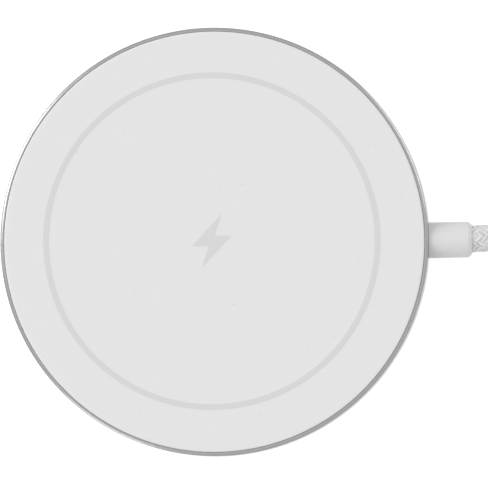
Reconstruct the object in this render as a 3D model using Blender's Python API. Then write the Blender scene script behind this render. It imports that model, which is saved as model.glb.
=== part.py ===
"""A round magnetic wireless charging pad with a captive braided cord and a small reversible plug.

Metres, +Z up. The origin is the middle of the pad's underside, and the cord leaves the pad along +X.
The pad is a stack: foot, bottom cover, circuit board, shield, ferrite, coil and top plate, inside an
aluminium rim, with a ring of magnets round the coil. The spare cord lies in a coil beside the pad.
"""

import math

import bmesh
import bpy
from mathutils import Vector

# Driving dimensions.
PAD_RADIUS = 0.029
PAD_HEIGHT = 0.0068
CORD_DIAMETER = 0.0037
CORD_LEVEL = 0.0036  # height of the cord's axis where it leaves the pad
GAP = 0.0001  # between pieces that lie face to face
CUT_GAP = 0.0003  # between a piece and the hole or ring that it passes through

# Rim and the two plates that close it.
RIM_TOP = PAD_HEIGHT - 0.0002
RIM_UNDER = 0.0004
RIM_ROUND = 0.00042  # radius of the rounded edge between the rim's face and its wall
RIM_FACE_INNER = PAD_RADIUS - 0.0005
RIM_WALL_INNER = PAD_RADIUS - 0.0011
PLATE_THICKNESS = 0.0012
PLATE_RADIUS = RIM_FACE_INNER - 0.00005
PLATE_UNDER = PAD_HEIGHT - PLATE_THICKNESS
PLATE_EDGE = 0.0003
COVER_RADIUS = PAD_RADIUS - 0.0007
COVER_TOP = 0.0013
FOOT_INNER = 0.0160
FOOT_OUTER = 0.0260
FOOT_THICKNESS = 0.00075

# Stack inside the pad, from the top plate down.
COIL_WIRE = 0.0009
COIL_LEVEL = PLATE_UNDER - 2 * GAP - COIL_WIRE / 2
COIL_INNER = 0.0105
COIL_OUTER = 0.0204
COIL_PITCH = COIL_WIRE + GAP
FERRITE_TOP = COIL_LEVEL - COIL_WIRE / 2 - GAP
FERRITE_UNDER = FERRITE_TOP - 0.0007
SHIELD_TOP = FERRITE_UNDER - GAP
SHIELD_UNDER = SHIELD_TOP - 0.0002
SHEET_RADIUS = 0.0210
SHEET_HOLE = 0.0058
BOARD_TOP = SHIELD_UNDER - CUT_GAP
BOARD_UNDER = BOARD_TOP - 0.0006
BOARD_RADIUS = 0.0198

# Magnet ring and its carrier.
MAGNET_SLOTS = 16  # the slot that faces the cord stays empty
MAGNET_INNER = 0.0231
MAGNET_OUTER = 0.0270
MAGNET_SPACE = math.radians(0.7)
MAGNET_UNDER = 0.0033
MAGNET_TOP = 0.0053
BACKPLATE_UNDER = 0.0028
CARRIER_INNER = 0.0224
CARRIER_OUTER = 0.0276
CARRIER_WALL = 0.0004
CARRIER_UNDER = 0.0023
CARRIER_MOUTH = 0.0042  # half the width of the carrier's opening for the cord

# Cover screws and the bosses that take them.
SCREW_ANGLES = [math.radians(a) for a in (60, 180, 300)]
SCREW_CIRCLE = 0.0209
SCREW_RADIUS = 0.0007
SCREW_HEAD_RADIUS = 0.0012
SCREW_HEAD_UNDER = 0.0009
SCREW_TIP = 0.0031
EAR_RADIUS = 0.0015
EAR_UNDER = 0.0020
EAR_TOP = SHIELD_UNDER - GAP

# Strain relief.
RELIEF_RADIUS = 0.00243
RELIEF_END = 0.03480
RELIEF_CHAMFER = 0.00045
RELIEF_NECK = 0.0016
RELIEF_BORE = 0.0011

# Cord: a lead, a coil of two flat layers, and a tail to the plug.
CORD_RADIUS = CORD_DIAMETER / 2
TURN_PITCH = 0.00375
TURNS = 9 + 7 / 12
SPOOL_MIDDLE = 0.0231  # middle radius of the turns
SPOOL_CENTRE = Vector((0.0815, -0.0238, 0.0))
SPOOL_INNER = SPOOL_MIDDLE - TURNS / 4 * TURN_PITCH - CORD_RADIUS
SPOOL_OUTER = SPOOL_MIDDLE + TURNS / 4 * TURN_PITCH + CORD_RADIUS
SPOOL_TOP = 2 * TURN_PITCH
UPPER_LEVEL = SPOOL_TOP - CORD_RADIUS
TIE_ANGLE = math.radians(-30)
TIE_WIDTH = 0.0100
TIE_THICKNESS = 0.0007
TIE_LIFT = TIE_THICKNESS + CUT_GAP  # how far the tie under the coil raises it
TIE_CORNER = 0.0014
ENTRY_ANGLE = math.radians(120)
LEAVE_ANGLE = math.radians(270)
FLOOR_LEVEL = CORD_RADIUS + 0.00005

# Plug, along its own +X from the end of the cord.
PLUG_HALF_HEIGHT = 0.0030
PLUG_HALF_WIDTH = 0.0058
PLUG_CORNER = 0.0022
PLUG_EDGE = 0.0005
PLUG_LEVEL = PLUG_HALF_HEIGHT + 0.00005
SLEEVE_LENGTH = 0.0070
HOUSING_START = SLEEVE_LENGTH + CUT_GAP
HOUSING_END = HOUSING_START + 0.0190
SHELL_END = HOUSING_END + 0.00665
SHELL_START = HOUSING_END - 0.0060
SHELL_WIDTH = 0.00825
SHELL_HEIGHT = 0.0024
SHELL_WALL = 0.0002


def clear_scene():
    for thing in list(bpy.data.objects):
        bpy.data.objects.remove(thing, do_unlink=True)


def make_material(name, colour, roughness, metallic=0.0):
    """A plain Principled material in a linear colour."""
    made = bpy.data.materials.new(name)
    made.use_nodes = True
    shader = made.node_tree.nodes["Principled BSDF"]
    shader.inputs["Base Color"].default_value = (*colour, 1.0)
    shader.inputs["Roughness"].default_value = roughness
    shader.inputs["Metallic"].default_value = metallic
    return made


def add_object(name, data, material=None, parent=None):
    made = bpy.data.objects.new(name, data)
    bpy.context.scene.collection.objects.link(made)
    if material is not None:
        data.materials.append(material)
    made.parent = parent
    return made


def add_mesh(name, shape, material=None, parent=None):
    """The bmesh as an object, faces out, smooth except at edges sharper than 35 degrees."""
    shape.normal_update()
    bmesh.ops.recalc_face_normals(shape, faces=shape.faces)
    if shape.calc_volume(signed=True) < 0:
        bmesh.ops.reverse_faces(shape, faces=shape.faces)
    mesh = bpy.data.meshes.new(name)
    shape.to_mesh(mesh)
    shape.free()
    mesh.shade_smooth()
    mesh.set_sharp_from_angle(angle=math.radians(35))
    return add_object(name, mesh, material, parent)


def turned(profile, steps, closed):
    """A profile of (radius, height) points spun about Z; an open profile starts and ends on the axis."""
    shape = bmesh.new()
    corners = [shape.verts.new((radius, 0.0, height)) for radius, height in profile]
    edges = [shape.edges.new(pair) for pair in zip(corners, corners[1:])]
    if closed:
        edges.append(shape.edges.new((corners[-1], corners[0])))
    bmesh.ops.spin(
        shape,
        geom=corners + edges,
        axis=(0, 0, 1),
        cent=(0, 0, 0),
        angle=math.tau,
        steps=steps,
        use_merge=True,
    )
    bmesh.ops.remove_doubles(shape, verts=shape.verts, dist=1e-6)
    return shape


def disc(radius, low, high, steps):
    return turned([(0, low), (radius, low), (radius, high), (0, high)], steps, closed=False)


def ring(inner, outer, low, high, steps):
    return turned([(inner, low), (outer, low), (outer, high), (inner, high)], steps, closed=True)


def prism(outline, low, high):
    """A flat outline of (x, y) points raised from low to high."""
    shape = bmesh.new()
    face = shape.faces.new([shape.verts.new((x, y, low)) for x, y in outline])
    raised = bmesh.ops.extrude_face_region(shape, geom=[face])["geom"]
    moved = [item for item in raised if isinstance(item, bmesh.types.BMVert)]
    bmesh.ops.translate(shape, verts=moved, vec=(0, 0, high - low))
    return shape


def lofted(sections):
    """A solid through flat sections, each an outline of (x, y) points and its height."""
    shape = bmesh.new()
    loops = [[shape.verts.new((x, y, z)) for x, y in outline] for outline, z in sections]
    count = len(loops[0])
    for low, high in zip(loops, loops[1:]):
        for i in range(count):
            j = (i + 1) % count
            shape.faces.new((low[i], low[j], high[j], high[i]))
    shape.faces.new(loops[0])
    shape.faces.new(loops[-1])
    return shape


def block(low, high, edge=0.0):
    """A box between two corners, its edges rounded in one step where edge isn't 0."""
    shape = bmesh.new()
    bmesh.ops.create_cube(shape, size=1.0)
    for corner in shape.verts:
        corner.co = [low[i] + (corner.co[i] + 0.5) * (high[i] - low[i]) for i in range(3)]
    if edge:
        bmesh.ops.bevel(shape, geom=list(shape.edges), offset=edge, segments=1, affect="EDGES")
    return shape


def pins(centres, radius, low, high, steps=16):
    """Upright round pins in one mesh, for cutting or joining."""
    shape = bmesh.new()
    for x, y in centres:
        made = bmesh.ops.create_cone(
            shape, cap_ends=True, segments=steps, radius1=radius, radius2=radius, depth=high - low
        )
        bmesh.ops.translate(shape, verts=made["verts"], vec=(x, y, (low + high) / 2))
    return shape


def along_x(shape):
    """Turns a shape made about Z to lie along +X."""
    for corner in shape.verts:
        corner.co = (corner.co.z, corner.co.x, corner.co.y)
    return shape


def moved(shape, x=0.0, y=0.0, z=0.0):
    bmesh.ops.translate(shape, verts=shape.verts, vec=(x, y, z))
    return shape


def combine(target, shape, operation, name):
    """Cuts or joins the shape, kept as a hidden helper, with the target."""
    helper = add_mesh(name, shape, parent=target.parent)
    helper.hide_render = True
    helper.display_type = "WIRE"
    step = target.modifiers.new(name, "BOOLEAN")
    step.operation = operation
    step.solver = "EXACT"
    step.object = helper


def add_tube(name, points, radius, material, resolution):
    """A round tube along the points, with closed ends."""
    curve = bpy.data.curves.new(name, "CURVE")
    curve.dimensions = "3D"
    curve.bevel_depth = radius
    curve.bevel_resolution = resolution
    curve.use_fill_caps = True
    spline = curve.splines.new("POLY")
    spline.points.add(len(points) - 1)
    for knot, place in zip(spline.points, points):
        knot.co = (*place, 1.0)
    return add_object(name, curve, material)


def on_circle(radius, angle):
    return radius * math.cos(angle), radius * math.sin(angle)


def smooth_route(knots, step):
    """Points about a step apart on a Catmull-Rom curve through all knots but the first and last."""
    points = []
    for before, start, end, after in zip(knots, knots[1:], knots[2:], knots[3:]):
        count = max(1, round((end - start).length / step))
        for i in range(count):
            t = i / count
            points.append(
                0.5
                * (
                    2 * start
                    + (end - before) * t
                    + (2 * before - 5 * start + 4 * end - after) * t * t
                    + (3 * start - before - 3 * end + after) * t * t * t
                )
            )
    return points + [knots[-2]]


def make_rim_frame(material):
    edge = [on_circle(RIM_ROUND, math.pi / 8 * i) for i in range(5)]
    profile = [(PAD_RADIUS - RIM_ROUND + x, RIM_TOP - RIM_ROUND + z) for x, z in edge] + [
        (RIM_FACE_INNER, RIM_TOP),
        (RIM_FACE_INNER, PLATE_UNDER - GAP),
        (RIM_WALL_INNER, PLATE_UNDER - GAP),
        (RIM_WALL_INNER, COVER_TOP + GAP),
        (COVER_RADIUS + GAP, COVER_TOP + GAP),
        (COVER_RADIUS + GAP, RIM_UNDER),
        (PAD_RADIUS - 0.0003, RIM_UNDER),
        (PAD_RADIUS, RIM_UNDER + 0.0004),
    ]
    rim = add_mesh("rim_frame", turned(profile, 72, closed=True), material)
    hole = along_x(pins([(0, 0)], RELIEF_NECK + 0.00025, PAD_RADIUS - 0.003, PAD_RADIUS + 0.003))
    combine(rim, moved(hole, z=CORD_LEVEL), "DIFFERENCE", "cord_hole_cutter")


def make_top_plate(material):
    profile = [
        (0, PLATE_UNDER),
        (PLATE_RADIUS, PLATE_UNDER),
        (PLATE_RADIUS, PAD_HEIGHT - PLATE_EDGE),
        (PLATE_RADIUS - PLATE_EDGE * 0.3, PAD_HEIGHT - PLATE_EDGE * 0.3),
        (PLATE_RADIUS - PLATE_EDGE, PAD_HEIGHT),
        (0, PAD_HEIGHT),
    ]
    add_mesh("top_plate", turned(profile, 72, closed=False), material)


def make_bottom_cover(material):
    recess = FOOT_THICKNESS + GAP
    profile = [
        (0, RIM_UNDER),
        (FOOT_INNER - GAP, RIM_UNDER),
        (FOOT_INNER - GAP, recess),
        (FOOT_OUTER + GAP, recess),
        (FOOT_OUTER + GAP, RIM_UNDER),
        (COVER_RADIUS, RIM_UNDER),
        (COVER_RADIUS, COVER_TOP),
        (0, COVER_TOP),
    ]
    cover = add_mesh("bottom_cover", turned(profile, 64, closed=False), material)
    places = [on_circle(SCREW_CIRCLE, angle) for angle in SCREW_ANGLES]
    head_top = SCREW_HEAD_UNDER + 0.0004
    bosses = pins(places, SCREW_HEAD_RADIUS + 0.0007, COVER_TOP - 0.0003, EAR_UNDER - GAP, 20)
    combine(cover, bosses, "UNION", "cover_boss_helper")
    heads = pins(places, SCREW_HEAD_RADIUS + 0.0002, recess - 0.0003, head_top)
    combine(cover, heads, "DIFFERENCE", "screw_head_cutter")
    shanks = pins(places, SCREW_RADIUS + 0.0002, COVER_TOP - 0.0006, EAR_UNDER + 0.0003)
    combine(cover, shanks, "DIFFERENCE", "screw_shank_cutter")


def make_foot_pad(material):
    edge = 0.0002
    profile = [
        (FOOT_INNER, FOOT_THICKNESS),
        (FOOT_INNER, edge),
        (FOOT_INNER + edge, 0),
        (FOOT_OUTER - edge, 0),
        (FOOT_OUTER, edge),
        (FOOT_OUTER, FOOT_THICKNESS),
    ]
    add_mesh("foot_pad", turned(profile, 64, closed=True), material)


def make_screw(number, angle, material):
    """A short pan-head screw, head down, with a cross recess."""
    head_top = SCREW_HEAD_UNDER + 0.0003
    profile = [
        (0, SCREW_HEAD_UNDER),
        (SCREW_HEAD_RADIUS - 0.0001, SCREW_HEAD_UNDER),
        (SCREW_HEAD_RADIUS, SCREW_HEAD_UNDER + 0.0001),
        (SCREW_HEAD_RADIUS, head_top),
        (SCREW_RADIUS, head_top),
        (SCREW_RADIUS, SCREW_TIP - 0.0002),
        (SCREW_RADIUS - 0.0002, SCREW_TIP),
        (0, SCREW_TIP),
    ]
    x, y = on_circle(SCREW_CIRCLE, angle)
    screw = add_mesh(f"cover_screw_{number}", turned(profile, 16, closed=False), material)
    screw.location = (x, y, 0)
    arm, half = 0.0007, 0.00015
    cross = [
        (arm, -half), (arm, half), (half, half), (half, arm), (-half, arm), (-half, half),
        (-arm, half), (-arm, -half), (-half, -half), (-half, -arm), (half, -arm), (half, -half),
    ]
    recess = prism(cross, SCREW_HEAD_UNDER - 0.0002, SCREW_HEAD_UNDER + 0.00018)
    combine(screw, moved(recess, x, y), "DIFFERENCE", f"screw_recess_cutter_{number}")


def make_magnet_carrier(material):
    """A channel that holds the backplate and the magnets, with three ears for the cover screws."""
    floor = BACKPLATE_UNDER - GAP
    profile = [
        (CARRIER_INNER, CARRIER_UNDER),
        (CARRIER_OUTER, CARRIER_UNDER),
        (CARRIER_OUTER, MAGNET_TOP),
        (CARRIER_OUTER - CARRIER_WALL, MAGNET_TOP),
        (CARRIER_OUTER - CARRIER_WALL, floor),
        (CARRIER_INNER + CARRIER_WALL, floor),
        (CARRIER_INNER + CARRIER_WALL, MAGNET_TOP),
        (CARRIER_INNER, MAGNET_TOP),
    ]
    carrier = add_mesh("magnet_carrier", turned(profile, 64, closed=True), material)
    places = [on_circle(SCREW_CIRCLE, angle) for angle in SCREW_ANGLES]
    ears = pins(places, EAR_RADIUS + 0.0002, EAR_UNDER, EAR_TOP, 20)
    combine(carrier, ears, "UNION", "carrier_ear_helper")
    holes = pins(places, SCREW_RADIUS + 0.0002, EAR_UNDER - 0.001, EAR_TOP + 0.001)
    combine(carrier, holes, "DIFFERENCE", "carrier_hole_cutter")
    mouth = block((0.020, -CARRIER_MOUTH, 0.001), (0.030, CARRIER_MOUTH, 0.006))
    combine(carrier, mouth, "DIFFERENCE", "carrier_mouth_cutter")


def arc_outline(inner, outer, start, end, steps):
    """The outline of a piece of a flat ring between two angles."""
    angles = [start + (end - start) * i / steps for i in range(steps + 1)]
    outside = [on_circle(outer, angle) for angle in angles]
    inside = [on_circle(inner, angle) for angle in reversed(angles)]
    return outside + inside


def make_magnets(magnet_material, steel_material):
    pitch = math.tau / MAGNET_SLOTS
    half = pitch / 2 - MAGNET_SPACE / 2
    for slot in range(1, MAGNET_SLOTS):
        outline = arc_outline(MAGNET_INNER, MAGNET_OUTER, slot * pitch - half, slot * pitch + half, 3)
        shape = prism(outline, MAGNET_UNDER, MAGNET_TOP)
        add_mesh(f"magnet_{slot:02d}", shape, magnet_material)
    outline = arc_outline(MAGNET_INNER, MAGNET_OUTER, pitch / 2, math.tau - pitch / 2, 60)
    add_mesh("magnet_backplate", prism(outline, BACKPLATE_UNDER, MAGNET_UNDER - GAP), steel_material)


def make_charging_coil(material):
    """A flat spiral; its outer end drops past the sheets and under the board, its inner end through them."""
    turns = (COIL_OUTER - COIL_INNER) / COIL_PITCH
    steps = round(turns * 20)
    last = math.radians(-24)
    spiral = []
    for i in range(steps + 1):
        radius = COIL_INNER + (COIL_OUTER - COIL_INNER) * i / steps
        angle = last - math.tau * turns * (1 - i / steps)
        spiral.append(Vector((*on_circle(radius, angle), COIL_LEVEL)))
    start = math.atan2(spiral[0].y, spiral[0].x)
    under = BOARD_UNDER - GAP - COIL_WIRE / 2
    inner_end = [
        Vector((*on_circle(0.0040, start - 0.9), BOARD_TOP + 0.0006)),
        Vector((*on_circle(0.0042, start - 0.8), COIL_LEVEL - 0.0006)),
        Vector((*on_circle(0.0055, start - 0.55), COIL_LEVEL)),
        Vector((*on_circle(0.0085, start - 0.25), COIL_LEVEL)),
    ]
    drop = SHEET_RADIUS + COIL_WIRE / 2 + 0.00025
    outer_end = [
        Vector((*on_circle(drop, last + 0.12), COIL_LEVEL - 0.0003)),
        Vector((*on_circle(drop, last + 0.17), COIL_LEVEL - 0.0012)),
        Vector((*on_circle(drop, last + 0.18), under + 0.0006)),
        Vector((*on_circle(drop - 0.0006, last + 0.18), under)),
        Vector((*on_circle(0.0180, last + 0.18), under)),
    ]
    add_tube("charging_coil", inner_end + spiral + outer_end, COIL_WIRE / 2, material, 1)


def make_sheets(ferrite_material, shield_material):
    """The ferrite under the coil and the metal shield under the ferrite."""
    ferrite = ring(SHEET_HOLE, SHEET_RADIUS, FERRITE_UNDER, FERRITE_TOP, 48)
    add_mesh("ferrite_sheet", ferrite, ferrite_material)
    shield = ring(SHEET_HOLE, SHEET_RADIUS, SHIELD_UNDER, SHIELD_TOP, 48)
    add_mesh("shield_plate", shield, shield_material)


def make_circuit_board(material):
    board = add_mesh("circuit_board", disc(BOARD_RADIUS, BOARD_UNDER, BOARD_TOP, 48), material)
    places = [on_circle(SCREW_CIRCLE, angle) for angle in SCREW_ANGLES]
    notches = pins(places, EAR_RADIUS + 0.0005, BOARD_UNDER - 0.001, BOARD_TOP + 0.001, 20)
    combine(board, notches, "DIFFERENCE", "board_notch_cutter")


def add_chip(name, x, y, size, material):
    """A part soldered under the board; size is its length, width and height."""
    top = BOARD_UNDER - GAP
    low = (x - size[0] / 2, y - size[1] / 2, top - size[2])
    high = (x + size[0] / 2, y + size[1] / 2, top)
    add_mesh(name, block(low, high, edge=0.0001), material)


def make_board_parts(chip_material, ceramic_material, pad_material):
    controller = (-0.0060, 0.0020)
    add_chip("controller_ic", *controller, (0.0060, 0.0060, 0.0008), chip_material)
    add_chip("power_stage_1", 0.0030, 0.0060, (0.0032, 0.0032, 0.0007), chip_material)
    add_chip("power_stage_2", 0.0030, -0.0060, (0.0032, 0.0032, 0.0007), chip_material)
    add_chip("power_inductor", 0.0105, 0.0050, (0.0042, 0.0042, 0.0009), chip_material)
    for i in range(4):
        place = (-0.0030 - 0.0022 * i, -0.0090)
        name = f"resonant_capacitor_{i + 1}"
        add_chip(name, *place, (0.0016, 0.0032, 0.0009), ceramic_material)
    for i in range(2):
        place = (0.0120, -0.0035 - 0.0026 * i)
        name = f"input_capacitor_{i + 1}"
        add_chip(name, *place, (0.0032, 0.0018, 0.0009), ceramic_material)
    x, y = controller
    top = BOARD_UNDER - 0.0008 - 2 * GAP
    pad = block((x - 0.0035, y - 0.0035, COVER_TOP + GAP), (x + 0.0035, y + 0.0035, top))
    add_mesh("thermal_pad", pad, pad_material)


def make_temperature_sensor(material):
    """A coated bead in the middle of the coil, its stem reaching down to the board."""
    profile = [
        (0, BOARD_TOP + GAP),
        (0.0003, BOARD_TOP + GAP),
        (0.0003, COIL_LEVEL - 0.0006),
        (0.0008, COIL_LEVEL - 0.0003),
        (0.0009, COIL_LEVEL),
        (0.0006, COIL_LEVEL + 0.0003),
        (0, COIL_LEVEL + 0.0004),
    ]
    add_mesh("temperature_sensor", turned(profile, 12, closed=False), material)


def make_strain_relief(material):
    """A sleeve outside the rim, a neck through it and a flange inside, bored for the wires."""
    outside = PAD_RADIUS + GAP
    neck_end = RIM_WALL_INNER - 0.0003
    flange = 0.0017
    profile = [
        (RELIEF_BORE, neck_end - 0.0009),
        (flange, neck_end - 0.0009),
        (flange, neck_end - 0.00035),
        (RELIEF_NECK, neck_end - 0.0001),
        (RELIEF_NECK, outside),
        (RELIEF_RADIUS, outside),
        (RELIEF_RADIUS, RELIEF_END - RELIEF_CHAMFER),
        (RELIEF_RADIUS - RELIEF_CHAMFER, RELIEF_END),
        (RELIEF_BORE, RELIEF_END),
    ]
    shape = along_x(turned(profile, 28, closed=True))
    add_mesh("strain_relief", moved(shape, z=CORD_LEVEL), material)


def make_wires(wire_materials, steel_material):
    """Four wires from the cord to the board's underside, held by a crimp ring behind the flange."""
    spread = 0.00047
    start, crimp_end = 0.0268, 0.0246
    radius = 0.0004
    under = BOARD_UNDER - GAP - radius
    crimp = along_x(ring(RELIEF_BORE + 0.0001, RELIEF_BORE + 0.0005, crimp_end, 0.0262, 24))
    add_mesh("crimp_ring", moved(crimp, z=CORD_LEVEL), steel_material)
    layout = (  # the wire's side and height in the cord, and the place of its pad across the board
        ("positive", 1, 1, 0.0024),
        ("negative", -1, 1, -0.0024),
        ("data", 1, -1, 0.0008),
        ("control", -1, -1, -0.0008),
    )
    for name, side, height, pad in layout:
        y = side * spread
        z = CORD_LEVEL + height * spread
        knots = [
            Vector((start + 0.001, y, z)),
            Vector((start, y, z)),
            Vector((crimp_end, y, z)),
            Vector((0.0230, (y + pad) / 2, 0.0029 + height * 0.0003)),
            Vector((0.0212, pad, under)),
            Vector((0.0178, pad, under)),
            Vector((0.0168, pad, under)),
        ]
        add_tube(f"wire_{name}", smooth_route(knots, 0.0008), radius, wire_materials[name], 1)


def tie_lift(angle):
    """How far the coil is raised at an angle about its centre, to pass over the tie."""
    flat, spread = math.radians(24), math.radians(60)
    away = abs((angle - TIE_ANGLE + math.pi) % math.tau - math.pi)
    share = min(1.0, max(0.0, (spread - away) / (spread - flat)))
    return TIE_LIFT * share * share * (3 - 2 * share)


def spool_point(radius, angle, level):
    return SPOOL_CENTRE + Vector((*on_circle(radius, angle), level))


def clear_of_spool(point):
    return (point.xy - SPOOL_CENTRE.xy).length > SPOOL_OUTER + CORD_RADIUS + CUT_GAP


def cord_routes():
    """The lead from the pad to the coil, and the tail from the coil to the plug."""
    outer = SPOOL_OUTER - CORD_RADIUS
    lead = [
        Vector((RELIEF_END + CUT_GAP - 0.004, 0, CORD_LEVEL)),
        Vector((RELIEF_END + CUT_GAP, 0.00015, CORD_LEVEL)),
        Vector((0.0395, 0.0004, CORD_LEVEL - 0.0003)),
        Vector((0.0450, 0.0008, 0.0024)),
        Vector((0.0502, 0.0016, FLOOR_LEVEL)),
        Vector((0.0565, 0.0030, FLOOR_LEVEL)),
        spool_point(outer, ENTRY_ANGLE, FLOOR_LEVEL),
        spool_point(outer, ENTRY_ANGLE - 0.25, FLOOR_LEVEL),
    ]
    tail = [
        spool_point(outer, LEAVE_ANGLE + 0.2, UPPER_LEVEL),
        spool_point(outer, LEAVE_ANGLE, UPPER_LEVEL),
        Vector((0.0730, -0.0560, 0.0052)),
        Vector((0.0645, -0.0556, 0.0042)),
        Vector((0.0560, -0.0547, 0.0034)),
        Vector((0.0485, -0.0533, PLUG_LEVEL)),
        Vector((0.0430, -0.0521, PLUG_LEVEL)),
        Vector((0.0390, -0.0512, PLUG_LEVEL)),
    ]
    return lead, tail


def make_cord(material):
    """The tubes end where they would meet the side of the coil's solid."""
    lead, tail = cord_routes()
    step = 2 * CORD_DIAMETER / 3
    for name, knots in (("cord_lead", lead), ("cord_tail", tail)):
        points = [point for point in smooth_route(knots, step) if clear_of_spool(point)]
        add_tube(name, points, CORD_RADIUS, material, 2)


def make_cord_coil(material):
    """The outer shape of the coiled cord: a turned ring, raised where the tie runs under it."""
    edge = 0.0008
    profile = [
        (SPOOL_INNER, edge), (SPOOL_INNER + edge, 0), (SPOOL_OUTER - edge, 0), (SPOOL_OUTER, edge),
        (SPOOL_OUTER, SPOOL_TOP - edge), (SPOOL_OUTER - edge, SPOOL_TOP),
        (SPOOL_INNER + edge, SPOOL_TOP), (SPOOL_INNER, SPOOL_TOP - edge),
    ]
    shape = turned(profile, 60, closed=True)
    for corner in shape.verts:
        corner.co.z += tie_lift(math.atan2(corner.co.y, corner.co.x))
    coil = add_mesh("cord_coil", shape, material)
    coil.location = SPOOL_CENTRE


def rounded_outline(half_x, half_y, corner, steps):
    """A rectangle centred on the origin, its corners arcs of the given radius."""
    points = []
    for quarter, (sx, sy) in enumerate(((1, 1), (-1, 1), (-1, -1), (1, -1))):
        for i in range(steps + 1):
            angle = math.pi / 2 * (quarter + i / steps)
            x, y = on_circle(corner, angle)
            points.append((sx * (half_x - corner) + x, sy * (half_y - corner) + y))
    return points


def hollow_prism(outer, inner, low, high):
    """A tube between two outlines of the same number of points."""
    shape = bmesh.new()
    loops = [
        [shape.verts.new((x, y, z)) for x, y in outline]
        for outline, z in ((outer, low), (outer, high), (inner, high), (inner, low))
    ]
    count = len(outer)
    for first, second in zip(loops, loops[1:] + loops[:1]):
        for i in range(count):
            j = (i + 1) % count
            shape.faces.new((first[i], first[j], second[j], second[i]))
    return shape


def make_cable_tie(material):
    """A hook-and-loop strap round the coil, standing across it."""
    inside = SPOOL_INNER * math.cos(math.asin(TIE_WIDTH / 2 / SPOOL_INNER)) - CUT_GAP
    outside = SPOOL_OUTER + CUT_GAP
    half_x = (outside - inside) / 2
    half_y = SPOOL_TOP / 2 + CUT_GAP
    inner = rounded_outline(half_x, half_y, TIE_CORNER - TIE_THICKNESS, 3)
    outer = rounded_outline(half_x + TIE_THICKNESS, half_y + TIE_THICKNESS, TIE_CORNER, 3)
    shape = hollow_prism(outer, inner, -TIE_WIDTH / 2, TIE_WIDTH / 2)
    for corner in shape.verts:
        across, up, along = corner.co
        corner.co = ((inside + outside) / 2 + across, -along, half_y + TIE_THICKNESS + up)
    tie = add_mesh("cable_tie", shape, material)
    tie.location = SPOOL_CENTRE
    tie.rotation_euler.z = TIE_ANGLE


def make_plug_axis():
    """An empty at the end of the cord, its +X pointing to the plug's tip."""
    _, tail = cord_routes()
    axis = add_object("plug_axis", None)
    axis.location = tail[-2]
    towards = tail[-1] - tail[-3]
    axis.rotation_euler.z = math.atan2(towards.y, towards.x)
    return axis


def make_plug_sleeve(axis, material):
    profile = [
        (0, CUT_GAP),
        (RELIEF_RADIUS - 0.0004, CUT_GAP),
        (RELIEF_RADIUS, CUT_GAP + 0.0004),
        (RELIEF_RADIUS + 0.0003, SLEEVE_LENGTH),
        (0, SLEEVE_LENGTH),
    ]
    add_mesh("plug_sleeve", along_x(turned(profile, 24, closed=False)), material, axis)


def make_plug_housing(axis, material):
    """The grip, hollow from the front for the shell and the paddle board, open behind for the wires."""
    sections = []
    for inset, x in (
        (PLUG_EDGE, HOUSING_START),
        (PLUG_EDGE * 0.3, HOUSING_START + PLUG_EDGE * 0.3),
        (0, HOUSING_START + PLUG_EDGE),
        (0, HOUSING_END - PLUG_EDGE),
        (PLUG_EDGE * 0.3, HOUSING_END - PLUG_EDGE * 0.3),
        (PLUG_EDGE, HOUSING_END),
    ):
        half_width, half_height = PLUG_HALF_WIDTH - inset, PLUG_HALF_HEIGHT - inset
        sections.append((rounded_outline(half_width, half_height, PLUG_CORNER - inset, 4), x))
    housing = add_mesh("plug_housing", along_x(lofted(sections)), material, axis)
    half_width, half_height = SHELL_WIDTH / 2 + 0.0002, SHELL_HEIGHT / 2 + 0.0002
    cavity = rounded_outline(half_width, half_height, half_height - 0.0001, 4)
    front = along_x(prism(cavity, HOUSING_START + 0.0030, HOUSING_END + 0.001))
    combine(housing, front, "DIFFERENCE", "housing_front_cutter")
    rear = along_x(pins([(0, 0)], 0.0011, HOUSING_START - 0.001, HOUSING_START + 0.004))
    combine(housing, rear, "DIFFERENCE", "housing_rear_cutter")


def stadium(width, height, steps=5):
    """The plug's section: flat top and bottom, half-round sides."""
    return rounded_outline(width / 2, height / 2, height / 2 - 1e-5, steps)


def make_plug_shell(axis, material):
    outer = stadium(SHELL_WIDTH, SHELL_HEIGHT)
    inner = stadium(SHELL_WIDTH - 2 * SHELL_WALL, SHELL_HEIGHT - 2 * SHELL_WALL)
    shape = along_x(hollow_prism(outer, inner, SHELL_START, SHELL_END))
    add_mesh("plug_shell", shape, material, axis)


def make_plug_insides(axis, insert_material, contact_material, board_material):
    """The plastic insert with its mouth, a row of twelve contacts above and below, and the board."""
    clear = 2 * (SHELL_WALL + GAP)
    outline = stadium(SHELL_WIDTH - clear, SHELL_HEIGHT - clear)
    start, end = SHELL_START + 0.0008, SHELL_END - 0.0002
    insert = add_mesh("plug_insert", along_x(prism(outline, start, end)), insert_material, axis)
    half_width, half_height = 0.00335, 0.00055
    back = start + 0.0006
    mouth = block((back, -half_width, -half_height), (end + 0.001, half_width, half_height))
    combine(insert, mouth, "DIFFERENCE", "plug_mouth_cutter")
    pitch, width = 0.0005, 0.00028
    for name, side in (("upper", 1), ("lower", -1)):
        outline = [(back + 0.0002, -0.0030), (back + 0.0012, -0.0030)]
        for i in range(12):
            middle = (i - 5.5) * pitch
            outline += [
                (back + 0.0012, middle - width / 2), (end - 0.0005, middle - width / 2),
                (end - 0.0005, middle + width / 2), (back + 0.0012, middle + width / 2),
            ]
        outline += [(back + 0.0012, 0.0030), (back + 0.0002, 0.0030)]
        levels = sorted((side * (half_height - 0.00015), side * (half_height - 0.00005)))
        add_mesh(f"plug_contacts_{name}", prism(outline, *levels), contact_material, axis)
    board = block((HOUSING_START + 0.0035, -0.0036, -0.0004), (SHELL_START - 0.0003, 0.0036, 0.0004))
    add_mesh("plug_board", board, board_material, axis)


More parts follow.
